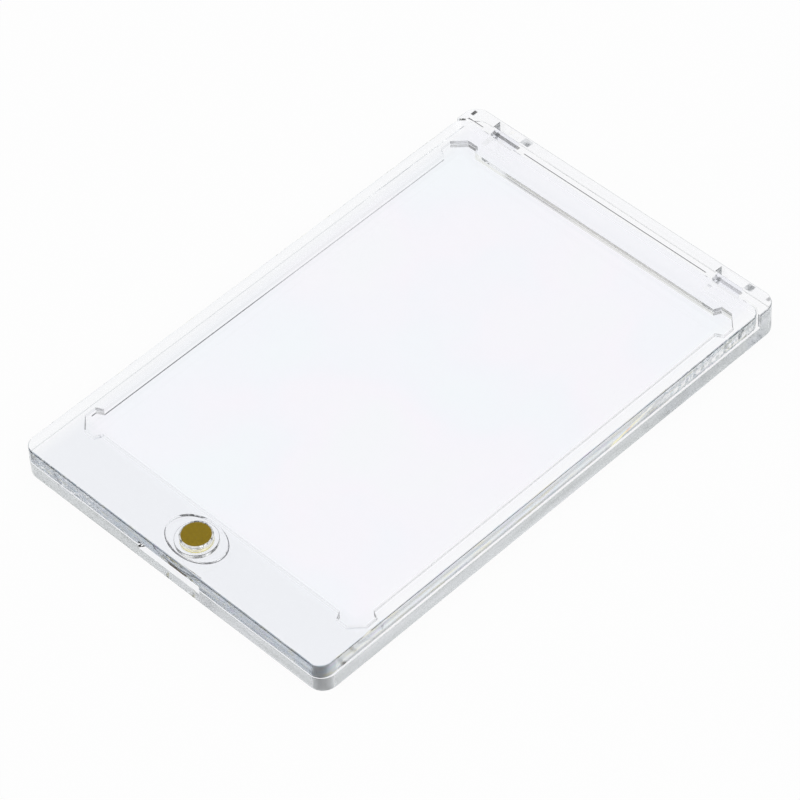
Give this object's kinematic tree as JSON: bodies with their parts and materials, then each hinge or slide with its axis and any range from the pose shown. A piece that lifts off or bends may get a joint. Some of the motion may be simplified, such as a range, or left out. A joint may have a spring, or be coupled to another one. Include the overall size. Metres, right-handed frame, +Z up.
{
  "type": "trading card display case",
  "caption": "Flat clear case for one trading card: a base with an end bar and a lid that hooks under it, swings up and is held shut by a pair of disc magnets.",
  "frame": {"origin": "middle of the underside of the base", "axes": "+Z up through the case, +Y along the case towards the end bar and the lid's hinge edge, +X across the case"},
  "size_m": [0.072, 0.1098, 0.0064],
  "materials": {
    "clear_base": "clear polished acrylic",
    "clear_lid": "clear polished acrylic",
    "plated_magnet": "bright gold plating"
  },
  "bodies": {
    "base": {"base_shell": "clear_base", "base_magnet": "plated_magnet"},
    "lid": {"lid_shell": "clear_lid", "lid_magnet": "plated_magnet"}
  },
  "joints": [
    {"name": "lid_hinge", "type": "hinge", "parent": "base", "child": "lid", "pos_m": [0, 0.05067, 0.0061], "axis": [-1, 0, 0], "range_deg": [0, 45]}
  ]
}
